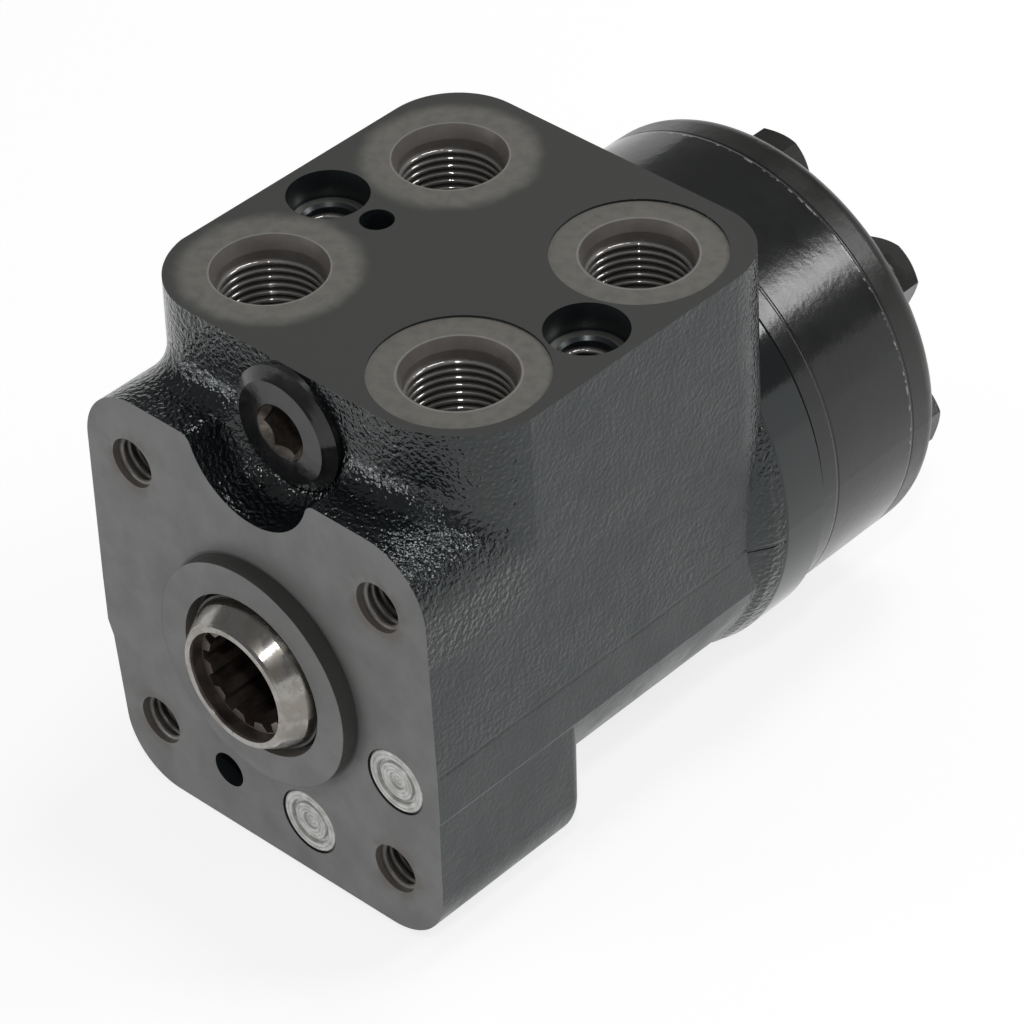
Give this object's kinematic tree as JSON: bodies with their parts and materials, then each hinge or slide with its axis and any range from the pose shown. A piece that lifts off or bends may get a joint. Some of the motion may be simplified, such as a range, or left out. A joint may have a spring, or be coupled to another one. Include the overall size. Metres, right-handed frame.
{
  "type": "orbital steering unit",
  "caption": "Hydraulic orbital steering unit: flanged cast housing with threaded ports, splined spool and a round gear set bolted behind.",
  "frame": {"origin": "centre of the mounting bolt circle in the front flange face, on the spool's axis", "axes": "-Y out of the front flange towards the steering column, +Y to the end cover, +Z out of the port face, +X to the right as seen from the column"},
  "size_m": [0.0884, 0.1436, 0.1017],
  "materials": {
    "cast_iron_black": "gloss black paint over cast iron, machined faces left duller",
    "gear_set_black": "smooth gloss black",
    "bolt_black": "black oxide steel",
    "plug_black": "gloss black paint, bare socket",
    "plug_silver": "bare turned steel",
    "hard_steel": "ground steel",
    "spring_steel": "blued spring steel",
    "rubber": "matte",
    "seal_plastic": "smooth filled plastic"
  },
  "bodies": {
    "housing": {"housing": "cast_iron_black", "dust_seal": "rubber", "shaft_seal_ring": "seal_plastic", "shaft_seal_o_ring": "rubber", "bearing_outer_race": "hard_steel", "distributor_plate": "gear_set_black", "gerotor_ring": "gear_set_black", "end_cover": "gear_set_black", "cover_bolts": "bolt_black", "pin_bolt": "bolt_black", "bolt_washers": "plug_silver", "housing_o_ring": "rubber", "ring_o_ring": "rubber", "cover_o_ring": "rubber", "relief_plug": "plug_black", "relief_plug_seal": "rubber", "relief_adjuster": "hard_steel", "relief_spring": "spring_steel", "relief_seat": "hard_steel", "shock_sealing_plugs": "plug_silver", "shock_adjusters": "hard_steel", "shock_seats": "hard_steel", "shock_spring_right": "spring_steel", "shock_spring_low": "spring_steel", "check_bushing": "hard_steel", "check_pin": "hard_steel"},
    "sleeve": {"spool_sleeve": "hard_steel", "cross_pin": "hard_steel", "centring_springs": "spring_steel", "spring_ring": "hard_steel", "bearing_inner_race": "hard_steel"},
    "spool": {"spool": "hard_steel"},
    "needles": {"bearing_cage": "hard_steel", "bearing_needles": "hard_steel"},
    "orbit": {"cardan_spacer": "hard_steel"},
    "star": {"gerotor_star": "hard_steel"},
    "shaft": {"cardan_shaft": "hard_steel"},
    "relief_poppet": {"relief_poppet": "hard_steel"},
    "shock_ball_right": {"shock_ball_right": "hard_steel"},
    "shock_ball_low": {"shock_ball_low": "hard_steel"},
    "check_ball": {"check_ball": "hard_steel"}
  },
  "joints": [
    {"name": "sleeve_turn", "type": "hinge", "parent": "housing", "child": "sleeve", "pos_m": [0, 0.042, 0], "axis": [0, 1, 0], "continuous": true},
    {"name": "spool_turn", "type": "hinge", "parent": "sleeve", "child": "spool", "pos_m": [0, 0.042, 0], "axis": [0, 1, 0], "range_deg": [-8, 8], "stiffness_Nm_per_rad": 5, "deforming": ["centring_springs"]},
    {"name": "orbit", "type": "hinge", "parent": "housing", "child": "orbit", "pos_m": [0, 0.1115, 0], "axis": [0, 1, 0], "continuous": true},
    {"name": "star_spin", "type": "hinge", "parent": "orbit", "child": "star", "pos_m": [0, 0.1115, -0.0028], "axis": [0, 1, 0], "continuous": true},
    {"name": "cardan_spin", "type": "hinge", "parent": "orbit", "child": "shaft", "pos_m": [0, 0.042, 0], "axis": [0, 0.9991, -0.0418], "continuous": true},
    {"name": "cage_turn", "type": "hinge", "parent": "housing", "child": "needles", "pos_m": [0, 0.013, 0], "axis": [0, 1, 0], "continuous": true},
    {"name": "relief_slide", "type": "slide", "parent": "housing", "child": "relief_poppet", "axis": [0, -1, 0], "range_m": [0, 0.0015], "stiffness_N_per_m": 2000, "springref_m": -0.0005, "deforming": ["relief_spring"]},
    {"name": "shock_right_slide", "type": "slide", "parent": "housing", "child": "shock_ball_right", "axis": [0, -1, 0], "range_m": [0, 0.0015], "stiffness_N_per_m": 2000, "springref_m": -0.0005, "deforming": ["shock_spring_right"]},
    {"name": "shock_low_slide", "type": "slide", "parent": "housing", "child": "shock_ball_low", "axis": [0, -1, 0], "range_m": [0, 0.0015], "stiffness_N_per_m": 2000, "springref_m": -0.0005, "deforming": ["shock_spring_low"]},
    {"name": "check_slide", "type": "slide", "parent": "housing", "child": "check_ball", "axis": [0, 0, 1], "range_m": [0, 0.003]}
  ],
  "couplings": [
    {"joint": "orbit", "follows": "sleeve_turn", "ratio": -6},
    {"joint": "star_spin", "follows": "sleeve_turn", "ratio": 7},
    {"joint": "cardan_spin", "follows": "sleeve_turn", "ratio": 7},
    {"joint": "cage_turn", "follows": "sleeve_turn", "ratio": 0.5}
  ]
}
